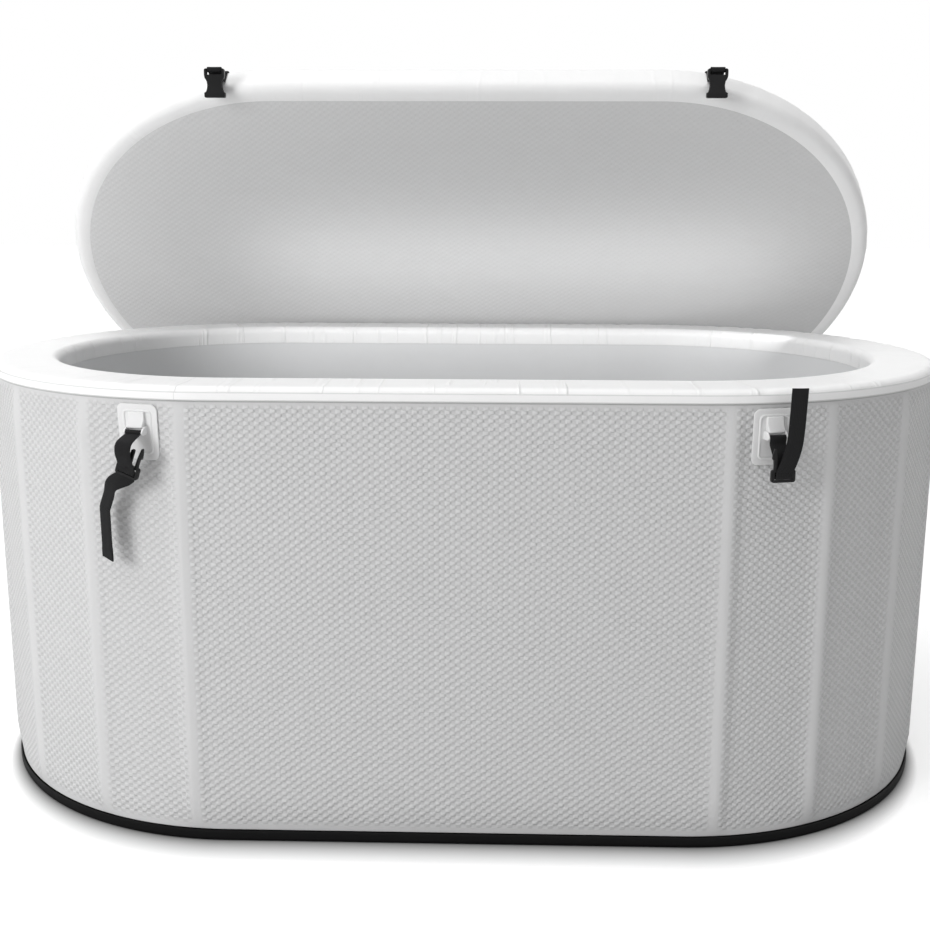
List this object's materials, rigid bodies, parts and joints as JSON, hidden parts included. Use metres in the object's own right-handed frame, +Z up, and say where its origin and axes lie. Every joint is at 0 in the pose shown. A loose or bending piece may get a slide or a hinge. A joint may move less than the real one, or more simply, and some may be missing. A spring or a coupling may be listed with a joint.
{
  "type": "inflatable bathtub",
  "caption": "Oval free-standing inflatable bathtub with thick drop-stitch walls and an inflatable lid held by webbing straps with side-release buckles.",
  "frame": {"origin": "on the floor under the middle of the tub's base", "axes": "+X along the tub, +Y to the back where the lid hangs, +Z up"},
  "size_m": [1.603, 1.1804, 1.1815],
  "materials": {
    "core": "matte",
    "wall_fabric": "matte",
    "liner_fabric": "satin",
    "rim_fabric": "satin",
    "base_fabric": "matte",
    "patch": "satin",
    "webbing": "matte",
    "buckle": "satin",
    "lid_under_fabric": "matte",
    "lid_fabric": "satin",
    "valve": "satin",
    "seal": "matte"
  },
  "bodies": {
    "tub": {"wall_core": "core", "outer_wall_skin": "wall_fabric", "inner_liner": "liner_fabric", "rim_cover": "rim_fabric", "rim_welt": "rim_fabric", "base_band": "base_fabric", "base_sheet": "base_fabric", "floor_panel": "liner_fabric", "front_patch_left": "patch", "front_patch_right": "patch", "back_patch_left": "patch", "back_patch_right": "patch", "tub_valve_body": "valve", "drain_body": "valve", "drain_gasket": "seal", "drain_nut": "valve"},
    "back_straps": {"back_strap_left": "webbing", "back_strap_right": "webbing", "back_male_left": "buckle", "back_male_right": "buckle", "back_female_left": "buckle", "back_female_right": "buckle"},
    "lid": {"lid_core": "core", "lid_top_skin": "lid_fabric", "lid_underside": "lid_under_fabric", "lid_edge_band": "rim_fabric", "lid_valve_body": "valve", "lid_patch_front_left": "patch", "lid_patch_front_right": "patch", "lid_patch_back_left": "patch", "lid_patch_back_right": "patch", "lid_tab_front_left": "webbing", "lid_tab_front_right": "webbing", "lid_tab_back_left": "webbing", "lid_tab_back_right": "webbing"},
    "front_strap_left": {"front_strap_left": "webbing", "front_male_left": "buckle"},
    "front_strap_right": {"front_strap_right": "webbing", "front_male_right": "buckle"},
    "lid_female_left": {"lid_female_left": "buckle"},
    "lid_female_right": {"lid_female_right": "buckle"},
    "tub_valve_plunger": {"tub_valve_plunger": "valve"},
    "tub_valve_cap": {"tub_valve_cap": "valve"},
    "lid_valve_plunger": {"lid_valve_plunger": "valve"},
    "lid_valve_cap": {"lid_valve_cap": "valve"},
    "drain_cap": {"drain_cap": "valve"}
  },
  "joints": [
    {"name": "back_strap_swing", "type": "hinge", "parent": "tub", "child": "back_straps", "pos_m": [0, 0.465, 0.49174], "axis": [1, 0, 0], "range_deg": [-40, 101.74]},
    {"name": "lid_fold", "type": "hinge", "parent": "back_straps", "child": "lid", "pos_m": [0, 0.66341, 0.45049], "axis": [1, 0, 0], "range_deg": [-52.1, 20.6]},
    {"name": "lid_female_left_hang", "type": "hinge", "parent": "lid", "child": "lid_female_left", "pos_m": [-0.436, 0.07083, 1.17651], "axis": [1, 0, 0], "range_deg": [-49.9, 19.7]},
    {"name": "lid_female_right_hang", "type": "hinge", "parent": "lid", "child": "lid_female_right", "pos_m": [0.436, 0.07083, 1.17651], "axis": [1, 0, 0], "range_deg": [-49.9, 19.7]},
    {"name": "front_strap_left_swing", "type": "hinge", "parent": "tub", "child": "front_strap_left", "pos_m": [-0.45742, -0.45121, 0.633], "axis": [-0.9703, 0.2418, 0], "range_deg": [0, 60]},
    {"name": "front_strap_right_swing", "type": "hinge", "parent": "tub", "child": "front_strap_right", "pos_m": [0.45742, -0.45121, 0.633], "axis": [-0.9703, -0.2418, 0], "range_deg": [0, 12]},
    {"name": "tub_valve_press", "type": "slide", "parent": "tub", "child": "tub_valve_plunger", "axis": [0, -1, 0], "range_m": [0, 0.004], "stiffness_N_per_m": 150},
    {"name": "tub_valve_cap_pull", "type": "slide", "parent": "tub", "child": "tub_valve_cap", "axis": [0, 1, 0], "range_m": [0, 0.03]},
    {"name": "lid_valve_press", "type": "slide", "parent": "lid", "child": "lid_valve_plunger", "axis": [0, -0.7638, -0.6455], "range_m": [0, 0.004], "stiffness_N_per_m": 150},
    {"name": "lid_valve_cap_pull", "type": "slide", "parent": "lid", "child": "lid_valve_cap", "axis": [0, 0.7638, 0.6455], "range_m": [0, 0.03]},
    {"name": "drain_cap_pull", "type": "slide", "parent": "tub", "child": "drain_cap", "axis": [0, 1, 0], "range_m": [0, 0.035]}
  ],
  "couplings": [
    {"joint": "lid_fold", "follows": "back_strap_swing", "ratio": -0.51055},
    {"joint": "lid_female_left_hang", "follows": "back_strap_swing", "ratio": -0.48945},
    {"joint": "lid_female_right_hang", "follows": "back_strap_swing", "ratio": -0.48945}
  ]
}
